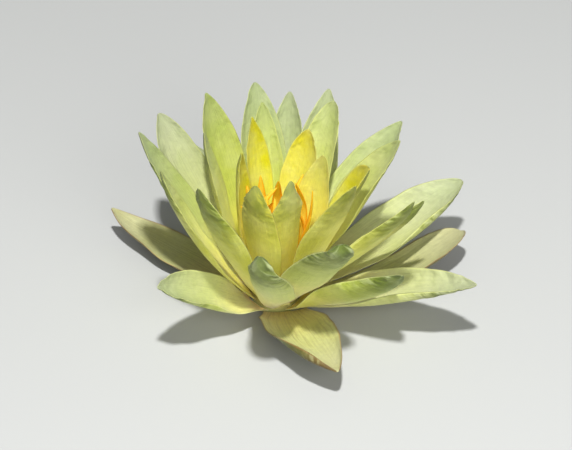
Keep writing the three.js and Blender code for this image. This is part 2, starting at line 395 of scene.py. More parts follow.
class BladeMesh:
    """The fine mesh of one blade, closed all round, with the attributes that its finish reads."""

    def __init__(self, blade: Blade, grain: Grain, seed: int) -> None:
        """Builds the points and faces.

        Args:
            blade: The blade's form.
            grain: Its fineness and thickness.
            seed: Seed of its unevenness.
        """
        self.blade = blade
        self.grain = grain
        self.noise = SmoothNoise(seed)
        x = np.linspace(0, 1, grain.rows + 1)
        self.t = 1 - (1 - x) ** CLOSER_ROWS
        y = np.linspace(-1, 1, grain.columns + 1)
        self.v = (1 - CLOSER_COLUMNS) * y + CLOSER_COLUMNS * np.sin(np.pi / 2 * y)
        self.inner, self.outer = self._faces_of_sheet()
        self.points, self.faces, self.values = self._closed()

    def _faces_of_sheet(self) -> tuple[np.ndarray, np.ndarray]:
        """The inner and the outer skin, as grids of points.

        Returns:
            Both grids, one row for each t and one column for each v.
        """
        middle = self.blade.surface(self.t, self.v, self.noise)
        normal = self._normals(middle)
        middle = middle + normal * self._relief()[..., None]
        normal = self._normals(middle)
        half = self._half_thickness()[..., None]
        return middle + normal * half, middle - normal * half

    @staticmethod
    def _normals(grid: np.ndarray) -> np.ndarray:
        """Unit normals of a grid of points, on the side of the inner face.

        Args:
            grid: Points in rows and columns.

        Returns:
            A normal for each point.
        """
        down = np.gradient(grid, axis=0)
        over = np.gradient(grid, axis=1)
        normal = np.cross(down, over)
        return normal / np.maximum(np.linalg.norm(normal, axis=2, keepdims=True), 1e-9)

    def _half_thickness(self) -> np.ndarray:
        """Half the thickness at each point of the grid: a keel, thin rims and round edges.

        Returns:
            The half thickness, in millimetres.
        """
        grain = self.grain
        t, v = self.t[:, None], self.v[None, :]
        body = grain.thin + (grain.keel - grain.thin) * bell(v, 0, KEEL_SPREAD)
        body = body * (ROOT_THICKNESS - THINNING * t)
        rims = np.sqrt(np.clip(1 - abs(v) ** SHARP_RIM, 0, 1))
        ends = np.sqrt(np.clip(1 - abs(2 * t - 1) ** SHARP_END, 0, 1))
        return body * rims * ends

    def _relief(self) -> np.ndarray:
        """How far the sheet is lifted at each point by pleats, waves and crinkles.

        Returns:
            The lift, in millimetres.
        """
        blade, grain, noise = self.blade, self.grain, self.noise
        t, v = self.t[:, None], self.v[None, :]
        along = t * blade.long
        across = v * blade.width(self.t)[:, None] / 2
        pleats = grain.pleat_depth * np.cos(np.pi * grain.pleats * v)
        pleats = pleats * (1 - t) ** 0.5 * smooth(t / 0.1)
        waves = blade.traits.ruffle * WAVES.at(noise, along, across) * (0.3 + v**2) * smooth(t / 0.5)
        at_midrib = 0.35
        near_rim = at_midrib + (1 - at_midrib) * abs(v) ** 1.5
        near_tip = smooth((t - CRINKLED_FROM) / CRINKLED_BY)
        fine = FINE_SHARE * FINE_CRINKLES.at(noise, along, across)
        broad = BROAD_SHARE * BROAD_CRINKLES.at(noise, along, across)
        crinkles = blade.traits.crinkle * (fine + broad) * (near_tip * near_rim)
        fade = smooth((1 - t) / SMOOTH_TIP)
        return (pleats + waves + crinkles) * fade

    def _closed(self) -> Shell:
        """Joins both skins along their rims into one closed mesh.

        Returns:
            The mesh, with its named values.
        """
        rows, columns = len(self.t), len(self.v)
        number = np.arange(rows * columns).reshape(rows, columns)
        under = np.full((rows, columns), -1)
        inside = under[1:-1, 1:-1]
        inside[:] = rows * columns + np.arange(inside.size).reshape(inside.shape)
        under = np.where(under < 0, number, under)
        points = np.vstack([self.inner.reshape(-1, 3), self.outer[1:-1, 1:-1].reshape(-1, 3)])
        quads = []
        for grid, order in ((number, (0, 1, 2, 3)), (under, (0, 3, 2, 1))):
            corners = (grid[:-1, :-1], grid[1:, :-1], grid[1:, 1:], grid[:-1, 1:])
            quads.append(np.stack([corners[k].ravel() for k in order], axis=1))
        along = np.repeat(self.t[:, None], columns, axis=1)
        across = np.repeat(self.v[None, :], rows, axis=0)
        face = np.zeros((rows, columns))
        face[:, [0, -1]] = 0.5
        values = {
            "along": np.hstack([along.ravel(), along[1:-1, 1:-1].ravel()]),
            "across": np.hstack([across.ravel(), across[1:-1, 1:-1].ravel()]),
            "outside": np.hstack([face.ravel(), np.ones(inside.size)]),
        }
        values["tone"] = np.full(len(points), self.blade.traits.tone)
        return points, np.vstack(quads), values


# ---- pieces ----


def flower_axis() -> Vector:
    """Where the bloom's axis crosses the level of the sepals' roots, in metres."""
    low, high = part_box("receptacle_stem")
    return Vector(((low.x + high.x) / 2, (low.y + high.y) / 2, low.z - FLOOR * MM))


def make_piece(name: str, parts: list[Shell]) -> bpy.types.Object:
    """Makes one object of one or more meshes.

    Args:
        name: Name of the piece.
        parts: The meshes.

    Returns:
        The new object, in metres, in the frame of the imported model.
    """
    points, faces, start = [], [], 0
    for some, quads, _ in parts:
        points.append(some)
        faces.append(quads + start)
        start += len(some)
    axis = flower_axis()
    placed = np.vstack(points) * MM + np.array(axis)
    mesh = bpy.data.meshes.new(name)
    mesh.from_pydata(placed.tolist(), [], np.vstack(faces).tolist())
    for label in parts[0][2]:
        attribute = mesh.attributes.new(label, "FLOAT", "POINT")
        attribute.data.foreach_set("value", np.hstack([p[2][label] for p in parts]).astype(np.float32))
    mesh.polygons.foreach_set("use_smooth", [True] * len(mesh.polygons))
    mesh.update()
    piece = bpy.data.objects.new(name, mesh)
    bpy.context.scene.collection.objects.link(piece)
    return piece


def settle(piece: bpy.types.Object, node: str, material: bpy.types.Material) -> None:
    """Dresses a piece, sets it on the body, and lets it stand for its node.

    Args:
        piece: The new object.
        node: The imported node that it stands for.
        material: Its finish.
    """
    piece.data.materials.append(material)
    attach(piece, BODY)
    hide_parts(node)
    LOG.info("%s: %d faces", piece.name, len(piece.data.polygons))


def revolve(
    outline: list[tuple[float, float]], sides: int, lift: np.ndarray | None = None
) -> tuple[np.ndarray, np.ndarray]:
    """Turns an outline of (radius, height) round the axis into a mesh of four-cornered faces.

    An outline that starts or ends a little off the axis leaves a pinhole there.

    Args:
        outline: Points from one end to the other.
        sides: Number of steps round.
        lift: Heights to add, one row for each outline point and one column for each step.

    Returns:
        Points and faces.
    """
    radii = np.array([p[0] for p in outline])[:, None]
    heights = np.array([p[1] for p in outline])[:, None] + np.zeros((1, sides))
    if lift is not None:
        heights = heights + lift
    turn = np.linspace(0, 2 * np.pi, sides, endpoint=False)[None, :]
    grid = np.stack([radii * np.cos(turn), radii * np.sin(turn), heights], axis=2)
    number = np.arange(grid.shape[0] * sides).reshape(-1, sides)
    after = np.roll(number, -1, axis=1)
    faces = np.stack([number[:-1], after[:-1], after[1:], number[1:]], axis=2).reshape(-1, 4)
    return grid.reshape(-1, 3), faces


# ---- shader graphs ----

Value = float | tuple[float, ...] | bpy.types.NodeSocket
WHITE = (1.0, 1.0, 1.0, 1.0)


class Graph:
    """Adds nodes to a node tree and joins them."""

    def __init__(self, tree: bpy.types.NodeTree) -> None:
        """Keeps the tree."""
        self.tree = tree

    def add(
        self, kind: str, inputs: dict[str | int, Value] | None = None, **settings: object
    ) -> bpy.types.Node:
        """Adds one node.

        Args:
            kind: Blender's name for the node's type.
            inputs: Values or sockets for its inputs, by name or number.
            **settings: Properties of the node.

        Returns:
            The node.
        """
        node = self.tree.nodes.new(kind)
        for key, value in settings.items():
            setattr(node, key, value)
        for key, value in (inputs or {}).items():
            self.feed(node.inputs[key], value)
        return node

    def feed(self, socket: bpy.types.NodeSocket, value: Value) -> None:
        """Joins a socket to another, or sets its value.

        Args:
            socket: The input.
            value: A socket to join it to, or a constant.
        """
        if isinstance(value, bpy.types.NodeSocket):
            self.tree.links.new(value, socket)
        else:
            socket.default_value = value

    def math(self, operation: str, a: Value, b: Value = 0.0, c: Value = 0.0) -> bpy.types.NodeSocket:
        """Works out one sum of numbers."""
        return self.add("ShaderNodeMath", {0: a, 1: b, 2: c}, operation=operation).outputs[0]

    def ease(self, value: Value, low: Value, high: Value) -> bpy.types.NodeSocket:
        """Goes smoothly from 0 to 1 as the value goes from low to high."""
        inputs = {"Value": value, "From Min": low, "From Max": high}
        return self.add("ShaderNodeMapRange", inputs, interpolation_type="SMOOTHSTEP").outputs["Result"]

    def blend(self, share: Value, a: Value, b: Value, way: str = "MIX") -> bpy.types.NodeSocket:
        """Mixes two colours."""
        node = self.add("ShaderNodeMix", {0: share, 6: a, 7: b}, data_type="RGBA", blend_type=way)
        return node.outputs[2]

    def attribute(self, name: str) -> bpy.types.NodeSocket:
        """Reads one of the mesh's own values."""
        return self.add("ShaderNodeAttribute", attribute_name=name).outputs["Fac"]

    def stretched(
        self, along: Value, steps: float, across: Value, steps_across: float, depth: Value = 0.0
    ) -> bpy.types.NodeSocket:
        """Makes a place in a noise of a place on a blade.

        Args:
            along: Place from root to tip.
            steps: Steps of noise for each unit of it.
            across: Place from rim to rim.
            steps_across: Steps of noise for each unit of it.
            depth: Place through the noise.

        Returns:
            The place in the noise.
        """
        inputs = {
            0: self.math("MULTIPLY", along, steps),
            1: self.math("MULTIPLY", across, steps_across),
            2: depth,
        }
        return self.add("ShaderNodeCombineXYZ", inputs).outputs[0]

    def noise(
        self, place: Value, scale: Value, detail: float, roughness: float = 0.5, distortion: float = 0.0
    ) -> bpy.types.NodeSocket:
        """Reads a smooth noise, from 0 to 1.

        Args:
            place: Where it is read.
            scale: Steps of noise for each unit of the place.
            detail: Number of finer layers.
            roughness: Weight of the finer layers.
            distortion: How far the noise is swirled.

        Returns:
            The noise.
        """
        inputs = {"Vector": place, "Scale": scale, "Detail": detail}
        inputs.update({"Roughness": roughness, "Distortion": distortion})
        return self.add("ShaderNodeTexNoise", inputs).outputs["Fac"]

    def here(self) -> bpy.types.NodeSocket:
        """Reads the place on the object, in metres."""
        return self.add("ShaderNodeTexCoord").outputs["Object"]

    def bump(
        self, strength: float, distance: float, height: Value, normal: Value | None = None
    ) -> bpy.types.NodeSocket:
        """Tilts the surface as a fine relief would.

        Args:
            strength: Share of the relief that shows.
            distance: Height of the relief, in metres.
            height: The relief, from 0 to 1.
            normal: The surface that it is laid on.

        Returns:
            The tilted normal.
        """
        inputs = {"Strength": strength, "Distance": distance, "Height": height}
        if normal is not None:
            inputs["Normal"] = normal
        return self.add("ShaderNodeBump", inputs).outputs["Normal"]

    def glowing(
        self, output: bpy.types.Node, skin: bpy.types.Node, through: bpy.types.Node, glow: float
    ) -> None:
        """Ends a material with a surface that lets a share of the light through.

        Args:
            output: The material's output node.
            skin: Shader of the surface.
            through: Shader of the light that passes.
            glow: The share that passes.
        """
        inputs = {0: glow, 1: skin.outputs["BSDF"], 2: through.outputs["BSDF"]}
        self.feed(output.inputs["Surface"], self.add("ShaderNodeMixShader", inputs).outputs[0])


class Socket(Enum):
    """The kinds of socket that the shared groups use."""

    NUMBER = "NodeSocketFloat"
    COLOUR = "NodeSocketColor"


def new_group(
    name: str, inputs: dict[str, Socket], outputs: dict[str, Socket]
) -> tuple[bpy.types.NodeTree, Graph, bpy.types.Node, bpy.types.Node]:
    """Starts a shared shader group.

    Args:
        name: Name of the group.
        inputs: Names and kinds of its inputs.
        outputs: Names and kinds of its outputs.

    Returns:
        The tree, its graph, the node with the inputs and the node for the outputs.
    """
    tree = bpy.data.node_groups.new(name, "ShaderNodeTree")
    for label, kind in inputs.items():
        tree.interface.new_socket(label, in_out="INPUT", socket_type=kind.value)
    for label, kind in outputs.items():
        tree.interface.new_socket(label, in_out="OUTPUT", socket_type=kind.value)
    graph = Graph(tree)
    return tree, graph, graph.add("NodeGroupInput"), graph.add("NodeGroupOutput")


class SharedEffects:
    """The shader groups that more than one finish uses, each built once."""

    def __init__(self) -> None:
        """Builds the groups."""
        self.flush = self._flush()
        self.veins = self._veins()
        self.mottle = self._mottle()
        self.fibre = self._fibre()
        self.crinkle = self._crinkle()

    @staticmethod
    def _flush() -> bpy.types.NodeTree:
        """Colour that runs from the base of a blade through its middle to its tip.

        Returns:
            The group.
        """
        inputs = dict.fromkeys(("Along", "Shift"), Socket.NUMBER)
        inputs.update(dict.fromkeys(("Root", "Base", "Middle", "Tip"), Socket.COLOUR))
        tree, graph, given, result = new_group("blade_flush", inputs, {"Colour": Socket.COLOUR})
        place = graph.math("ADD", given.outputs["Along"], given.outputs["Shift"])
        colour = given.outputs["Root"]
        for label, start, end in (("Base", 0.0, 0.16), ("Middle", 0.12, 0.55), ("Tip", 0.5, 1.0)):
            colour = graph.blend(graph.ease(place, start, end), colour, given.outputs[label])
        graph.feed(result.inputs[0], colour)
        return tree

    @staticmethod
    def _veins() -> bpy.types.NodeTree:
        """Fine parallel veins that wander a little and fade towards the tip.

        Returns:
            The group.
        """
        tree, graph, given, result = new_group(
            "blade_veins",
            {"Along": Socket.NUMBER, "Across": Socket.NUMBER, "Count": Socket.NUMBER},
            {"Mask": Socket.NUMBER},
        )
        place = graph.stretched(given.outputs["Along"], 3.0, given.outputs["Across"], 6.0)
        wander = graph.noise(place, scale=1.0, detail=2.0)
        moved = graph.math("MULTIPLY_ADD", wander, 0.3, given.outputs["Across"])
        phase = graph.math("MULTIPLY", moved, graph.math("MULTIPLY", given.outputs["Count"], math.pi))
        crest = graph.math("POWER", graph.math("ABSOLUTE", graph.math("COSINE", phase)), 5.0)
        broken = graph.ease(wander, 0.3, 0.65)
        faded = graph.ease(given.outputs["Along"], 1.1, 0.2)
        shown = graph.math("MULTIPLY", graph.math("MULTIPLY", crest, broken), faded)
        graph.feed(result.inputs[0], shown)
        return tree

    @staticmethod
    def _mottle() -> bpy.types.NodeTree:
        """Soft cloudy unevenness of colour over a surface.

        Returns:
            The group.
        """
        tree, graph, given, result = new_group(
            "soft_mottle", {"Scale": Socket.NUMBER}, {"Mask": Socket.NUMBER}
        )
        cloud = graph.noise(graph.here(), scale=given.outputs["Scale"], detail=4.0, roughness=0.6)
        graph.feed(result.inputs[0], graph.ease(cloud, 0.3, 0.7))
        return tree

    @staticmethod
    def _fibre() -> bpy.types.NodeTree:
        """Fine streaks that run lengthwise, broken by small soft specks.

        Returns:
            The group.
        """
        tree, graph, given, result = new_group(
            "fine_fibre", {"Along": Socket.NUMBER, "Across": Socket.NUMBER}, {"Mask": Socket.NUMBER}
        )
        place = graph.stretched(given.outputs["Along"], 5.0, given.outputs["Across"], 26.0)
        streak_share = 0.55
        streaks = graph.math("MULTIPLY", graph.noise(place, scale=1.0, detail=3.0), streak_share)
        specks = graph.noise(graph.here(), scale=620.0, detail=3.0)
        both = graph.math("MULTIPLY_ADD", specks, 1 - streak_share, streaks)
        graph.feed(result.inputs[0], graph.ease(both, 0.36, 0.64))
        return tree

    @staticmethod
    def _crinkle() -> bpy.types.NodeTree:
        """Slanting wrinkles that run in from the rims and deepen towards the tip, with masks for
        painted shade in their valleys and a painted highlight on their ridges.

        Returns:
            The group.
        """
        tree, graph, given, result = new_group(
            "tip_crinkle_shade_and_highlight",
            {"Along": Socket.NUMBER, "Across": Socket.NUMBER, "Tone": Socket.NUMBER},
            {"Height": Socket.NUMBER, "Painted Shade": Socket.NUMBER, "Painted Highlight": Socket.NUMBER},
        )
        from_midrib = graph.math("ABSOLUTE", given.outputs["Across"])
        lengthwise = graph.math("MULTIPLY", given.outputs["Along"], 30.0)
        slanted = graph.math("MULTIPLY_ADD", from_midrib, 2.4, lengthwise)
        depth = graph.math("MULTIPLY", given.outputs["Tone"], 9.0)
        place = graph.stretched(slanted, 1.0, given.outputs["Across"], 1.6, depth)
        folds = graph.noise(place, scale=1.0, detail=3.0, distortion=0.5)
        near_tip = graph.ease(given.outputs["Along"], 0.3, 0.85)
        near_rim = graph.math("MULTIPLY_ADD", graph.ease(from_midrib, 0.1, 0.9), 0.7, 0.3)
        reach = graph.math("MULTIPLY", near_tip, near_rim)
        # Masks for painted shade in the wrinkles' valleys and a painted highlight on their ridges.
        valley_shade = graph.ease(folds, 0.5, 0.36)
        ridge = graph.ease(folds, 0.52, 0.66)
        for label, mask in (("Height", folds), ("Painted Shade", valley_shade), ("Painted Highlight", ridge)):
            graph.feed(result.inputs[label], graph.math("MULTIPLY", mask, reach))
        return tree


def use_group(graph: Graph, tree: bpy.types.NodeTree, inputs: dict[str, Value]) -> bpy.types.Node:
    """Places a shared group in a material with its own values.

    Args:
        graph: Graph of the material.
        tree: The shared group.
        inputs: Values or sockets for its inputs, by name.

    Returns:
        The node.
    """
    node = graph.add("ShaderNodeGroup", node_tree=tree)
    for label, value in inputs.items():
        graph.feed(node.inputs[label], value)
    return node


def new_material(name: str) -> tuple[bpy.types.Material, Graph, bpy.types.Node]:
    """Starts a material.

    Args:
        name: Name of the material.

    Returns:
        The material, its graph and its output node.
    """
    material = bpy.data.materials.new(name)
    material.use_nodes = True
    material.node_tree.nodes.clear()
    graph = Graph(material.node_tree)
    return material, graph, graph.add("ShaderNodeOutputMaterial")


# ---- finishes ----

MOTTLE_SHIFT = 0.16  # share of the length by which the mottle moves the colours of a blade
MOTTLE_SATURATION = 0.2  # what the mottle adds to the saturation
SATURATION = 0.92  # of a blade with tone 0, where it isn't mottled
TONE_SATURATION = -0.25  # change from tone 0 to 1
TONE_VALUE = 0.1  # the same for the brightness
TONE_HUE = -0.012  # the same for the hue, in turns
INSIDE_WRINKLES = 0.3  # share of the wrinkles that shows on the inner face
PAINTED_VALLEY_SHADE = 0.75  # how far the painted shade darkens the wrinkles' valleys
PAINTED_RIDGE_HIGHLIGHT = 0.9  # how far the painted highlight on their ridges takes the inner face's colour
RIM_BAND = (0.93, 0.985)  # shares of the half width where the rim's colour starts and is full
RIM_SHARE = 0.7  # how strongly that colour shows
PALE = 0.5  # share of white in the light that passes near the tip
PALER_BELOW = 0.42  # what the root adds to that


@dataclass(frozen=True)
class BladeFinish:
    """The living surface of a whorl of sepals or petals.

    Attributes:
        name: Name of the material.
        inner: Colours of the inner face at base, middle and tip.
        outer: The same for the outer face.
        rim: Colour of the thin rim: on the sepals their own brown edge, on the petals a painted
            highlight along the edge.
        vein: Colour of the veins.
        root: Colour of the root, deep among the other blades.
        vein_count: Number of veins across.
        vein_share: How strongly the veins show on the inner face.
        glow: Share of light that passes through the blade.
        roughness: Roughness of the surface.
        unevenness: How far the fine fibres lighten and darken the colour.
        wrinkled: How strongly the wrinkles show, of the most, in relief and in their painted shade and
            highlight.
    """

    name: str
    inner: tuple[str, str, str]
    outer: tuple[str, str, str]
    rim: str
    vein: str
    root: str
    vein_count: float = 15.0
    vein_share: float = 0.16
    glow: float = 0.48
    roughness: float = 0.5
    unevenness: float = 0.15
    wrinkled: float = 1.0

    def material(self, effects: SharedEffects) -> bpy.types.Material:
        """Builds the material.

        Args:
            effects: The shared groups.

        Returns:
            The finished material.
        """
        material, graph, output = new_material(self.name)
        labels = ("along", "across", "outside", "tone")
        along, across, outside, tone = (graph.attribute(label) for label in labels)
        mottle = use_group(graph, effects.mottle, {"Scale": 90.0}).outputs["Mask"]
        shift = graph.math("MULTIPLY_ADD", mottle, MOTTLE_SHIFT, -MOTTLE_SHIFT / 2)
        skins = []
        for colours in (self.inner, self.outer):
            base, middle, tip = (linear(code) for code in colours)
            inputs = {"Along": along, "Shift": shift, "Base": base, "Middle": middle, "Tip": tip}
            inputs["Root"] = linear(self.root) if colours == self.inner else base
            skins.append(use_group(graph, effects.flush, inputs).outputs["Colour"])
        place = {"Along": along, "Across": across}
        veins = use_group(graph, effects.veins, {**place, "Count": self.vein_count}).outputs["Mask"]
        crinkle = use_group(graph, effects.crinkle, {**place, "Tone": tone})
        fibre = use_group(graph, effects.fibre, place).outputs["Mask"]
        side = graph.ease(outside, 0.4, 0.6)
        colour = graph.blend(side, skins[0], skins[1])
        colour = graph.blend(graph.math("MULTIPLY", veins, self.vein_share), colour, linear(self.vein))
        inside = INSIDE_WRINKLES * self.wrinkled
        wrinkled = graph.math("MULTIPLY_ADD", side, self.wrinkled - inside, inside)
        # Painted shade: the wrinkles' valleys are darkened by the outer face's colour.
        valley_shade = graph.math("MULTIPLY", wrinkled, PAINTED_VALLEY_SHADE)
        painted_valley_shade = graph.math("MULTIPLY", crinkle.outputs["Painted Shade"], valley_shade)
        colour = graph.blend(painted_valley_shade, colour, skins[1], "MULTIPLY")
        # Painted highlight: the wrinkles' ridges are lightened towards the inner face's colour.
        ridge = graph.math("MULTIPLY", wrinkled, PAINTED_RIDGE_HIGHLIGHT)
        painted_ridge_highlight = graph.math("MULTIPLY", crinkle.outputs["Painted Highlight"], ridge)
        colour = graph.blend(painted_ridge_highlight, colour, skins[0])
        paler = graph.math("MULTIPLY_ADD", tone, TONE_VALUE, 1.0)
        streaked = graph.math("MULTIPLY_ADD", fibre, self.unevenness, 1.0 - self.unevenness / 2)
        duller = graph.math("MULTIPLY_ADD", tone, TONE_SATURATION, SATURATION)
        changes = {
            "Hue": graph.math("MULTIPLY_ADD", tone, TONE_HUE, 0.5),
            "Value": graph.math("MULTIPLY", paler, streaked),
            "Saturation": graph.math("MULTIPLY_ADD", mottle, MOTTLE_SATURATION, duller),
            "Color": colour,
        }
        colour = graph.add("ShaderNodeHueSaturation", changes).outputs["Color"]
        # The thin rim: a brown edge on the sepals, a painted highlight along the edge on the petals.
        edge = graph.ease(graph.math("ABSOLUTE", across), *RIM_BAND)
        colour = graph.blend(graph.math("MULTIPLY", edge, RIM_SHARE), colour, linear(self.rim))
        folds = graph.math("MULTIPLY", crinkle.outputs["Height"], wrinkled)
        relief = graph.bump(strength=0.8, distance=0.001, height=folds)
        relief = graph.bump(strength=0.45, distance=0.0002, height=veins, normal=relief)
        relief = graph.bump(strength=0.6, distance=0.00014, height=fibre, normal=relief)
        surface = {"Base Color": colour, "Roughness": self.roughness, "Normal": relief}
        surface.update({"Specular IOR Level": 0.35, "Sheen Weight": 0.1, "Sheen Roughness": 0.4})
        skin = graph.add("ShaderNodeBsdfPrincipled", surface)
        white = graph.math("MULTIPLY_ADD", graph.ease(along, 0.75, 0.1), PALER_BELOW, PALE)
        pale = graph.blend(white, colour, WHITE)
        through = graph.add("ShaderNodeBsdfTranslucent", {"Color": pale, "Normal": relief})
        graph.glowing(output, skin, through, self.glow)
        return material


@dataclass(frozen=True)
class FleshFinish:
    """The surface of a small fleshy part: stamens, stigma or the cut stem.

    Attributes:
        name: Name of the material.
        low: Colour at the foot.
        high: Colour at the top.
        spot: Colour of the mottling and of the edges.
        roughness: Roughness of the surface.
        glow: Share of light that passes through.
    """

    name: str
    low: str
    high: str
    spot: str
    roughness: float = 0.45
    glow: float = 0.15

    def material(self, effects: SharedEffects) -> bpy.types.Material:
        """Builds the material.

        Args:
            effects: The shared groups.

        Returns:
            The finished material.
        """
        material, graph, output = new_material(self.name)
        along = graph.attribute("along")
        mottle = use_group(graph, effects.mottle, {"Scale": 260.0}).outputs["Mask"]
        colour = graph.blend(graph.ease(along, 0.1, 0.85), linear(self.low), linear(self.high))
        edge = graph.ease(graph.math("ABSOLUTE", graph.attribute("across")), 0.3, 0.95)
        colour = graph.blend(graph.math("MULTIPLY_ADD", mottle, 0.3, edge), colour, linear(self.spot))
        relief = graph.bump(strength=0.3, distance=0.0003, height=mottle)
        surface = {"Base Color": colour, "Roughness": self.roughness, "Normal": relief}
        skin = graph.add("ShaderNodeBsdfPrincipled", surface)
        through = graph.add("ShaderNodeBsdfTranslucent", {"Color": colour})
        graph.glowing(output, skin, through, self.glow)
        return material


SEPAL_FINISH = BladeFinish(
    "sepal_skin",
    inner=("#dcd080", "#c8c888", "#c4c290"),
    outer=("#8c8638", "#5e6c2c", "#6c562a"),
    rim="#9a7440",
    vein="#7c6230",
    root="#d0b860",
    vein_count=8.0,
    vein_share=0.4,
    glow=0.3,
    wrinkled=0.4,
)
OUTER_FINISH = BladeFinish(
    "outer_petal_skin",
    inner=("#ece680", "#cad08c", "#bec894"),
    outer=("#f8f294", "#ced678", "#68792a"),
    rim="#e4e898",
    vein="#b8c070",
    root="#f0c65c",
)
MIDDLE_FINISH = BladeFinish(
    "middle_petal_skin",
    inner=("#f8ee6c", "#dce088", "#c2cc84"),
    outer=("#fff88c", "#e8e678", "#808c38"),
    rim="#ecee84",
    vein="#c4c864",
    root="#f4cc58",
)
INNER_FINISH = BladeFinish(
    "inner_petal_skin",
    inner=("#faf068", "#faf480", "#f6ea5c"),
    outer=("#fffca4", "#f8f690", "#88933e"),
    rim="#f8f070",
    root="#f4d44c",
    vein="#dccc54",
    glow=0.54,
    wrinkled=0.45,
)
HEART_FINISH = BladeFinish(
    "heart_petal_skin",
    inner=("#faf060", "#faf478", "#f2ee7c"),
    outer=("#fffca4", "#f8f690", "#8c9742"),
    rim="#faf078",
    root="#f6d044",
    vein="#e4c844",
    glow=0.54,
    wrinkled=0.45,
)
STAMEN_FINISH = FleshFinish("stamen_skin", low="#fff484", high="#fff05a", spot="#ffcc30", glow=0.5)
STIGMA_FINISH = FleshFinish("stigma_skin", low="#d8b430", high="#f0c838", spot="#c89a28")
STEM_FINISH = FleshFinish(
    "stem_skin", low="#8c9450", high="#d8d080", spot="#a08c4c", glow=0.0, roughness=0.6
)


# ---- whorls of sepals and petals ----

Row = tuple[str, float, float, float, float, float, float, float, float, float, float, float]


@dataclass
class Whorl:
    """One whorl of blades round the receptacle.

    Attributes:
        rows: One row for each blade: its name, at, rise, long, wide, bow, cup, roll, sway, root, claw
            and widest.
        traits: What sets each blade apart, by name.
        grain: Fineness and thickness.
        finish: Surface.
        slot: The record's material slot; not used.
        seed: Seed of the first blade's unevenness.
    """

    rows: list[Row]
    traits: dict[str, Traits]
    grain: Grain
    finish: BladeFinish
    slot: str
    seed: int

    def meshes(self) -> list[tuple[str, BladeMesh]]:
        """Builds the blades' meshes, each with its node's name.

        Returns:
            A name and a mesh for each blade.
        """
        built = []
        for order, (name, *numbers) in enumerate(self.rows):
            radius = receptacle_radius(numbers[8]) + ROOT_GAP
            blade = Blade(*numbers, radius, self.traits.get(name, Traits()))
            built.append((name, BladeMesh(blade, self.grain, self.seed + order)))
        return built

    def dress(self, effects: SharedEffects) -> None:
        """Makes each blade's piece and gives it its finish.

        Args:
            effects: The shared groups.
        """
        material = self.finish.material(effects)
        for name, mesh in self.meshes():
            self.rest_on_floor(mesh)
            piece = make_piece(f"{name}_skin", [(mesh.points, mesh.faces, mesh.values)])
            settle(piece, name, material)

    @staticmethod
    def rest_on_floor(mesh: BladeMesh) -> None:
        """Flattens what would reach below the floor, and keeps the inner skin clear of the outer.

        Args:
            mesh: The mesh of one blade.
        """
        rows, columns = len(mesh.t), len(mesh.v)
        count = rows * columns
        mesh.points[count:, 2] = np.maximum(mesh.points[count:, 2], FLOOR)
        grid = mesh.points[:count, 2].reshape(rows, columns)
        grid[1:-1, 1:-1] = np.maximum(grid[1:-1, 1:-1], FLOOR + SKIN_OVER_FLOOR)
        np.maximum(grid, FLOOR, out=grid)


SEPALS = Whorl(
    rows=[
        ("sepal_front", -68.7, 9.8, 48.8, 26.5, -2, 89, -7, 12.9, 0.8, 0.57, 0.32),
        ("sepal_right", 24.8, 8.2, 65.2, 23.3, 26, 41, -19, 21.2, -0.3, 0.4, 0.56),
        ("sepal_back", 85, 12, 68, 22, 40, 58, 0, 0, -0.5, 0.4, 0.56),
        ("sepal_left", 144.9, 7.2, 65.1, 22, 25, 58, 9, 3.4, -0.7, 0.52, 0.43),
    ],
    traits={
        "sepal_front": Traits(blunt=0.38, hook=5, left=86, right=26, rolled_at=0.91, crinkle=0.12),
        "sepal_right": Traits(blunt=0.99, hook=-5, left=16, right=20),
        "sepal_left": Traits(
            hook=22, hooked_from=0.77, pinch=20, left=30, right=18, rolled_at=0.77, crinkle=0.06
        ),
    },
    grain=SEPAL_GRAIN,
    finish=SEPAL_FINISH,
    slot="sepal",
    seed=100,
)
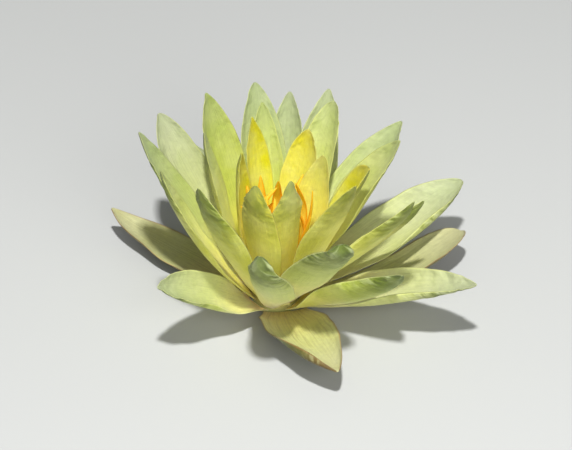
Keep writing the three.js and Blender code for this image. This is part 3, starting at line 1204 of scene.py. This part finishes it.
OUTER_PETALS = Whorl(
    rows=[
        ("petal_outer_01", -19.2, 19.1, 66.1, 23.2, 9, 89, 2, -0.9, 1.6, 0.31, 0.46),
        ("petal_outer_02", 32, 16, 72, 24, 20, 69, 5, 0, 1.8, 0.24, 0.56),
        ("petal_outer_03", 44, 37, 66, 21, 6, 78, -4, 0, 6, 0.24, 0.56),
        ("petal_outer_04", 73.5, 36, 71, 18, 22, 70, 9, 2, 4.7, 0.24, 0.56),
        ("petal_outer_05", 78, 20, 67, 22, 28, 65, -2, 0, 0.8, 0.24, 0.56),
        ("petal_outer_06", 86, 31, 74, 19, 32, 73, -8, -1, 2.2, 0.24, 0.56),
        ("petal_outer_07", 96.3, 34, 74, 18, 15, 56, 14, 1, 3.5, 0.24, 0.56),
        ("petal_outer_08", 115, 19, 65, 20, 30, 63, 1, -2, 1.3, 0.24, 0.56),
        ("petal_outer_09", 136, 45, 69, 20, 32, 66, 3, -1, 2.9, 0.24, 0.56),
        ("petal_outer_10", 163, 54, 69, 19, 26, 62, 8, 1, 4.2, 0.24, 0.56),
        ("petal_outer_11", -140.1, 32.3, 50, 18.1, 7, 105, -31, 1.3, 2.2, 0.73, 0.56),
        ("petal_outer_12", -97.1, 46.3, 65.9, 18.3, 9, 99, -15, -7.9, 3.2, 0.28, 0.45),
        ("petal_outer_13", -65.3, 47.5, 67.8, 18, -2, 73, -20, 6.8, 4.5, 0.29, 0.48),
        ("petal_outer_14", -42, 35.5, 58.7, 21.6, 33, 91, -31, -7, 2.9, 0.55, 0.41),
    ],
    traits={
        "petal_outer_01": Traits(
            blunt=0.03, hook=1, left=79, right=20, rolled_at=0.64, crinkle=0.5, tone=0.6
        ),
        "petal_outer_02": Traits(blunt=0.3, left=84, rolled_at=0.72, crinkle=0.4, tone=0.5),
        "petal_outer_03": Traits(tone=-0.2),
        "petal_outer_07": Traits(blunt=0.2, tone=-0.4),
        "petal_outer_09": Traits(blunt=0.35, tone=0.5, crinkle=0.12),
        "petal_outer_10": Traits(right=45, rolled_at=0.5, crinkle=0.4, tone=-0.6),
        "petal_outer_11": Traits(blunt=0.25, hook=2, left=2, right=59, rolled_at=0.55, crinkle=0.5),
        "petal_outer_12": Traits(
            blunt=0.72, hook=60, hooked_from=0.81, left=22, right=31, rolled_at=0.66, crinkle=0.5,
            ruffle=0.15, tone=-0.1,
        ),
        "petal_outer_13": Traits(
            blunt=0.89, hook=61, hooked_from=0.88, left=17, right=4, rolled_at=0.87, crinkle=0.5,
            ruffle=0.15, tone=-0.1,
        ),
        "petal_outer_14": Traits(blunt=0.1, hook=6, left=28, right=27, rolled_at=0.64, tone=-0.3),
    },
    grain=PETAL_GRAIN,
    finish=OUTER_FINISH,
    slot="petal_outer",
    seed=200,
)
MIDDLE_PETALS = Whorl(
    rows=[
        ("petal_middle_1", 3.9, 37.5, 54.8, 17.6, 17, 69, -45, -3.2, 4.4, 0.36, 0.48),
        ("petal_middle_2", 14, 55, 62, 21, 3, 80, 1, 1, 7.8, 0.24, 0.56),
        ("petal_middle_3", 64, 51, 61, 17, 13, 84, -10, -1, 7.4, 0.24, 0.56),
        ("petal_middle_4", 96, 51, 59, 14, 19, 79, 6, -2, 6.6, 0.24, 0.56),
        ("petal_middle_5", 123, 57, 68, 22, 40, 62, 22, 0, 4.8, 0.24, 0.56),
        ("petal_middle_6", 174, 75, 64, 16, 15, 59, 1, 0, 5.6, 0.24, 0.56),
        ("petal_middle_7", 200, 61, 68, 18, 27, 66, -9, -3, 4, 0.36, 0.56),
        ("petal_middle_8", 231, 62, 69, 21, 14, 62, -11, 1, 5.9, 0.24, 0.56),
        ("petal_middle_9", -30, 48.5, 69, 18, 16, 88, -12, 1, 6.8, 0.24, 0.56),
    ],
    traits={
        "petal_middle_1": Traits(
            blunt=0.1, hook=17, hooked_from=0.73, left=20, right=7, rolled_at=0.5, crinkle=0.5, tone=0.1
        ),
        "petal_middle_2": Traits(ruffle=0.55),
        "petal_middle_3": Traits(ruffle=0.6, blunt=0.3),
        "petal_middle_4": Traits(tone=-0.5),
        "petal_middle_5": Traits(tone=-0.6),
        "petal_middle_6": Traits(crinkle=0.25, hook=10),
        "petal_middle_7": Traits(crinkle=0.25, hook=8, right=34, rolled_at=0.5, tone=-0.1),
        "petal_middle_8": Traits(crinkle=0.4, hook=14, right=60, rolled_at=0.55, tone=-0.3),
        "petal_middle_9": Traits(crinkle=0.35, hook=16),
    },
    grain=PETAL_GRAIN,
    finish=MIDDLE_FINISH,
    slot="petal_middle",
    seed=300,
)
INNER_PETALS = Whorl(
    rows=[
        ("petal_inner_1", -3, 62, 52, 19, 2, 78, 1, 2, 9.3, 0.26, 0.56),
        ("petal_inner_2", 63, 69, 50, 16, 14, 86, -2, -4, 8.9, 0.26, 0.56),
        ("petal_inner_3", 112, 75, 56, 13, 24, 78, 23, 1, 8.2, 0.26, 0.56),
        ("petal_inner_4", 176, 85, 53, 16, 16, 70, -11, -2, 7.8, 0.26, 0.56),
        ("petal_inner_5", -106, 71, 60, 16, 19, 77, -17, 0, 7.4, 0.26, 0.56),
        ("petal_inner_6", -48, 62, 67, 19, 9, 89, -2, 3, 8, 0.26, 0.56),
    ],
    traits={
        "petal_inner_1": Traits(tone=-0.3, blunt=1, crinkle=0.1, hook=6),
        "petal_inner_2": Traits(blunt=0.4),
        "petal_inner_3": Traits(tone=-0.4),
        "petal_inner_4": Traits(tone=-0.5, hook=14, crinkle=0.24),
        "petal_inner_5": Traits(blunt=0.4, hook=50, hooked_from=0.86, crinkle=0.45, tone=-0.2),
        "petal_inner_6": Traits(crinkle=0.2, tone=-0.2),
    },
    grain=PETAL_GRAIN,
    finish=INNER_FINISH,
    slot="petal_inner",
    seed=400,
)
HEART_PETALS = Whorl(
    rows=[
        ("petal_heart_1", 34, 73, 44, 15, 19, 67, 14, 3, 10.8, 0.26, 0.56),
        ("petal_heart_2", -75, 73, 56, 16, 21, 102, 17, 4, 10.2, 0.26, 0.56),
    ],
    traits={"petal_heart_2": Traits(hook=30, crinkle=0.45, ruffle=0.6)},
    grain=PETAL_GRAIN,
    finish=HEART_FINISH,
    slot="petal_heart",
    seed=500,
)


# ---- the heart of the bloom ----


@dataclass(frozen=True)
class StamenRing:
    """One ring of stamens, in millimetres and degrees.

    Attributes:
        count: Number of stamens.
        radius: Distance of their roots from the axis.
        root: Height of their roots.
        long: Length.
        wide: Greatest width.
        rise: Mean rise over the horizon.
        bow: Growth of the rise from root to tip.
        widest: Share of the length where a stamen is widest.
    """

    count: int
    radius: float
    root: float
    long: float
    wide: float
    rise: float
    bow: float
    widest: float = 0.25


@dataclass
class Stamens:
    """The crown of flat stamens, in a collar round the top of the receptacle.

    Attributes:
        rings: The rings, from the outermost.
        lean: Degrees that the crown leans open towards lean_at.
        lean_at: Compass angle that it opens to.
        swing: Degrees by which the stamens of a ring differ from one another.
        swing_step: Radians from the swing of one stamen to that of the next.
        bend: Degrees that a stamen bends inward.
        bend_swing: What its swing adds to that.
        collar: Inner radius, outer radius, foot and top of the collar.
        seed: Seed of the first stamen's unevenness.
    """

    rings: tuple[StamenRing, ...] = (
        StamenRing(12, 5.6, 13.8, 33, 5.6, 79, 10),
        StamenRing(10, 5.4, 13.8, 27, 4.4, 81, 18),
        StamenRing(8, 5.2, 13.8, 19, 2.4, 84, 28),
    )
    lean: float = 5.0
    lean_at: float = 15.0
    swing: float = 4.0
    swing_step: float = 2.4
    bend: float = 12.0
    bend_swing: float = 9.0
    collar: tuple[float, float, float, float] = (4.9, 6.0, 13.3, 14.5)
    seed: int = 600

    def blades(self) -> list[Blade]:
        """The form of each stamen.

        Returns:
            The stamens, ring by ring.
        """
        made = []
        for order, ring in enumerate(self.rings):
            for k in range(ring.count):
                at = (k + order / len(self.rings)) * 360 / ring.count
                lean = self.lean * math.cos(math.radians(at - self.lean_at))
                uneven = self.swing * math.sin(k * self.swing_step + order)
                bend = self.bend + self.bend_swing * uneven
                blade = Blade(
                    at=at,
                    rise=ring.rise - lean + uneven / 2,
                    long=ring.long + uneven / 2,
                    wide=ring.wide,
                    bow=ring.bow,
                    cup=50,
                    roll=4 * uneven,
                    sway=3 * uneven,
                    root=ring.root,
                    claw=0.6,
                    widest=ring.widest,
                    radius=ring.radius,
                    traits=Traits(
                        hook=bend, hooked_from=0.35, left=20, right=10, crinkle=0.04, ruffle=0.2
                    ),
                )
                made.append(blade)
        return made

    def collar_mesh(self) -> Shell:
        """The ring that the stamens stand in, with a rounded top.

        Returns:
            The mesh, with its named values.
        """
        inner, outer, foot, top = self.collar
        middle, half = (inner + outer) / 2, (outer - inner) / 2
        height = (top - foot) / 2
        outline = [
            (middle + half * math.cos(a), foot + height + height * math.sin(a))
            for a in np.linspace(0, 2 * np.pi, 25)
        ]
        points, faces = revolve(outline, sides=64)
        values = {"along": np.zeros(len(points)), "across": np.zeros(len(points))}
        return points, faces, values

    def dress(self, effects: SharedEffects) -> None:
        """Makes the crown's piece and gives it its finish.

        Args:
            effects: The shared groups.
        """
        parts = []
        for order, blade in enumerate(self.blades()):
            mesh = BladeMesh(blade, STAMEN_GRAIN, self.seed + order)
            values = {key: mesh.values[key] for key in ("along", "across")}
            parts.append((mesh.points, mesh.faces, values))
        parts.append(self.collar_mesh())
        settle(make_piece("stamen_crown", parts), "stamens", STAMEN_FINISH.material(effects))


@dataclass
class Stigma:
    """The shallow rayed bowl in the middle of the crown.

    Attributes:
        radius: Radius at its rim.
        foot: Height of its underside.
        height: Height of its rim above the foot.
        hollow: Depth of the bowl.
        rays: Number of rays.
        ray_height: Height of a ray in the middle of its length.
        ray_foot: Its height at both ends.
        knob: Radius of the knob, as a share of the bowl's.
        knob_height: Height of the knob's round top.
        knob_foot: How far that starts above the floor of the bowl.
    """

    radius: float = 4.6
    foot: float = RECEPTACLE_TOP + 0.3
    height: float = 2.2
    hollow: float = 1.2
    rays: int = 14
    ray_height: float = 0.4
    ray_foot: float = 0.15
    knob: float = 0.18
    knob_height: float = 0.9
    knob_foot: float = 0.3

    def mesh(self) -> Shell:
        """The bowl, its rays and the knob in its middle.

        Returns:
            The mesh, with its named values.
        """
        sides = self.rays * 12
        flat = 0.8
        rim = self.foot + self.height
        outline = [(0.05, self.foot), (self.radius * 0.5, self.foot), (self.radius * flat, self.foot)]
        outline += [
            (self.radius * (flat + 0.2 * math.sin(a)), self.foot + self.height * (1 - math.cos(a)))
            for a in np.linspace(0.2, math.pi / 2, 8)
        ]
        first = len(outline)
        shares = np.linspace(0.97, 0.2, 14)
        outline += [(self.radius * s, rim - self.hollow * (1 - s**2)) for s in shares]
        foot = rim - self.hollow + self.knob_foot
        outline += [
            (self.radius * self.knob * math.cos(a), foot + self.knob_height * math.sin(a))
            for a in np.linspace(0.0, math.pi / 2 - 0.05, 7)
        ]
        turn = np.linspace(0, 2 * np.pi, sides, endpoint=False)
        ridge = abs(np.cos(turn * self.rays / 2)) ** 3
        lift = np.zeros((len(outline), sides))
        for k, share in enumerate(shares):
            lift[first + k] = (self.ray_height * math.sin(math.pi * share) + self.ray_foot) * ridge
        points, faces = revolve(outline, sides, lift)
        heights = (points[:, 2] - self.foot) / (self.height + self.ray_height)
        return points, faces, {"along": np.clip(heights, 0, 1)}

    def dress(self, effects: SharedEffects) -> None:
        """Makes the stigma's piece and gives it its finish."""
        piece = make_piece("stigma_disc", [self.mesh()])
        settle(piece, "stigma", STIGMA_FINISH.material(effects))


@dataclass(frozen=True)
class Canals:
    """One ring of air canals in the cut end of the stem, in millimetres.

    Attributes:
        count: Number of canals.
        start: Where the first one stands, in steps round the ring.
        ring: Radius of the ring.
        radius: Radius of a canal.
        depth: How deep it is sunk.
    """

    count: int
    start: float
    ring: float
    radius: float
    depth: float


@dataclass
class Receptacle:
    """The blunt bowl that carries every blade, and the short cut end of the stem.

    Attributes:
        stem: Radius of the stem.
        foot: Height where the bowl meets the stem.
        edge: Height of the stem's cut edge.
        canals: The rings of air canals in the cut face.
    """

    stem: float = 4.2
    foot: float = -0.9
    edge: float = 0.35
    canals: tuple[Canals, ...] = (
        Canals(count=4, start=0.0, ring=1.7, radius=0.75, depth=0.5),
        Canals(count=12, start=0.5, ring=3.2, radius=0.4, depth=0.35),
    )

    def mesh(self) -> Shell:
        """The turned bowl, with the air canals sunk in the cut end of its stem.

        Returns:
            The mesh, with its named values.
        """
        sides = 96
        radii = np.linspace(0.05, 1, 22) * self.stem
        outline = [(r, FLOOR) for r in radii]
        outline += [(self.stem, FLOOR + self.edge), (self.stem, self.foot)]
        heights = np.linspace(0, RECEPTACLE_TOP, 30)
        outline += [(receptacle_radius(h), h) for h in heights]
        brim = receptacle_radius(RECEPTACLE_TOP)
        outline += [(brim * s, RECEPTACLE_TOP) for s in (0.95, 0.6, 0.3, 0.01)]
        turn = np.linspace(0, 2 * np.pi, sides, endpoint=False)[None, :]
        radius = radii[:, None]
        lift = np.zeros((len(outline), sides))
        for canals in self.canals:
            for k in range(canals.count):
                at = 2 * math.pi * (k + canals.start) / canals.count
                x = radius * np.cos(turn) - canals.ring * math.cos(at)
                y = radius * np.sin(turn) - canals.ring * math.sin(at)
                off = ((x**2 + y**2) / canals.radius**2) ** 2
                lift[: len(radii)] += canals.depth * np.exp(-off)
        points, faces = revolve(outline, sides, lift)
        return points, faces, {"along": np.clip((points[:, 2] - FLOOR) / 8, 0, 1)}

    def dress(self, effects: SharedEffects) -> None:
        """Makes the receptacle's piece and gives it its finish."""
        piece = make_piece("receptacle_body", [self.mesh()])
        settle(piece, "receptacle_stem", STEM_FINISH.material(effects))


# ---- floor, light and camera ----


@dataclass
class Studio:
    """A plain pale floor, soft lights and the camera.

    Attributes:
        elevation: Degrees that the camera stands above the horizon.
        distance: From the camera to its aim, in metres.
        lens: Focal length on a 36 mm sensor.
        aim: What the camera looks at, from the bloom's axis, in millimetres.
        half: Half the width of the floor, in metres.
        sunk: How far the floor lies below the bloom.
    """

    elevation: float = 35.0
    distance: float = 1.0
    lens: float = 182.5
    aim: tuple[float, float, float] = (3.448, 14.83, 21.18)
    half: float = 4.0
    sunk: float = 0.00005

    def camera(self) -> None:
        """Sets the camera."""
        target = flower_axis() + Vector(self.aim) * MM
        rise = math.radians(self.elevation)
        back = Vector((0, -math.cos(rise), math.sin(rise)))
        data = bpy.data.cameras.new("camera")
        data.lens = self.lens
        data.sensor_width = 36.0
        data.clip_start = 0.01
        eye = bpy.data.objects.new("camera", data)
        eye.location = target + back * self.distance
        eye.rotation_mode = "QUATERNION"
        eye.rotation_quaternion = (-back).to_track_quat("-Z", "Y")
        bpy.context.scene.collection.objects.link(eye)
        bpy.context.scene.camera = eye

    def floor(self) -> None:
        """Lays the floor just under the bloom."""
        mesh = bpy.data.meshes.new("floor")
        corners = [(x * self.half, y * self.half, 0) for x, y in ((-1, -1), (1, -1), (1, 1), (-1, 1))]
        mesh.from_pydata(corners, [], [(0, 1, 2, 3)])
        ground = bpy.data.objects.new("floor", mesh)
        ground.location.z = -self.sunk
        material, graph, output = new_material("pale_floor")
        plain = {"Base Color": linear("#abacaa"), "Roughness": 0.9}
        paper = graph.add("ShaderNodeBsdfPrincipled", plain)
        graph.feed(output.inputs["Surface"], paper.outputs["BSDF"])
        mesh.materials.append(material)
        bpy.context.scene.collection.objects.link(ground)

    def lamp(self, name: str, place: tuple[float, float, float], size: float, watts: float) -> None:
        """Adds one soft square light that faces the bloom.

        Args:
            name: Name of the light.
            place: Where it stands, in metres.
            size: Length of its side, in metres.
            watts: Its power.
        """
        data = bpy.data.lights.new(name, "AREA")
        data.size = size
        data.energy = watts
        light = bpy.data.objects.new(name, data)
        light.location = place
        light.rotation_mode = "QUATERNION"
        light.rotation_quaternion = Vector(place).to_track_quat("Z", "Y")
        bpy.context.scene.collection.objects.link(light)

    def lights(self) -> None:
        """Sets the lights and the plain world."""
        self.lamp("key_light", place=(0.0, -0.45, 1.08), size=0.07, watts=19.0)
        self.lamp("fill_light", place=(0.4, -1.1, 0.55), size=0.9, watts=11.5)
        world = bpy.data.worlds.new("studio")
        world.use_nodes = True
        background = world.node_tree.nodes["Background"]
        background.inputs["Color"].default_value = linear("#f2f4f6")
        background.inputs["Strength"].default_value = 0.28
        bpy.context.scene.world = world
        bpy.context.scene.view_settings.view_transform = "Standard"


def main() -> None:
    """Builds and dresses the bloom, then its studio."""
    logging.basicConfig(level=logging.INFO, format="%(message)s")
    effects = SharedEffects()
    for whorl in (SEPALS, OUTER_PETALS, MIDDLE_PETALS, INNER_PETALS, HEART_PETALS):
        whorl.dress(effects)
    for part in (Stamens(), Stigma(), Receptacle()):
        part.dress(effects)
    studio = Studio()
    studio.floor()
    studio.lights()
    studio.camera()


if __name__ == "__main__":
    main()
